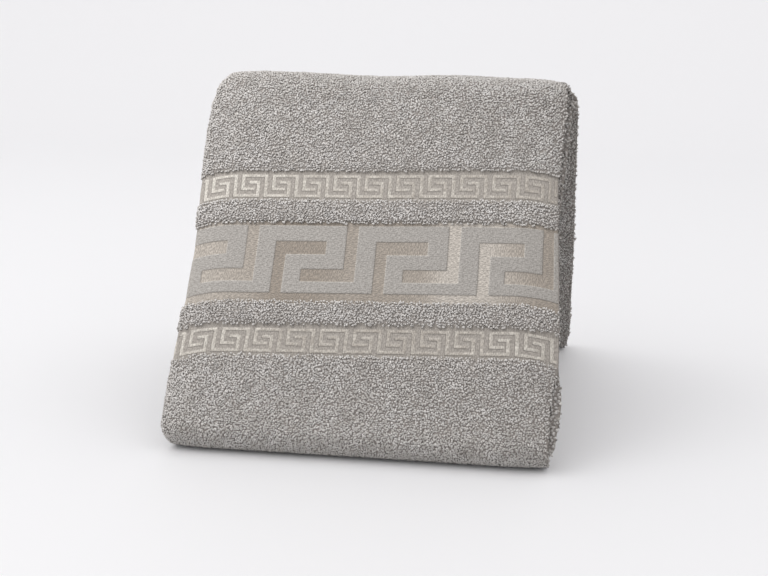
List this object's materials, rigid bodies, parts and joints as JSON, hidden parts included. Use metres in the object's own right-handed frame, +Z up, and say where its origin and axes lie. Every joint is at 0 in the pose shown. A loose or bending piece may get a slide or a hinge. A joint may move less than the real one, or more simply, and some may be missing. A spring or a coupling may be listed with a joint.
{
  "type": "folded bath towel",
  "caption": "Plush terry bath towel folded in layers and stood on its ends like a tent, with woven key-pattern bands across the front leg.",
  "frame": {"origin": "centre of the bounding box's foot, on the surface that the towel stands on, under the ridge", "axes": "+X across the towel to the selvedge side, +Y from the front leg with the border to the back leg, +Z up"},
  "size_m": [0.3425, 0.3739, 0.3135],
  "materials": {
    "grey_terry": "matt looped cotton pile with flat woven sateen bands"
  },
  "bodies": {
    "root": {"towel": "grey_terry"}
  },
  "joints": []
}
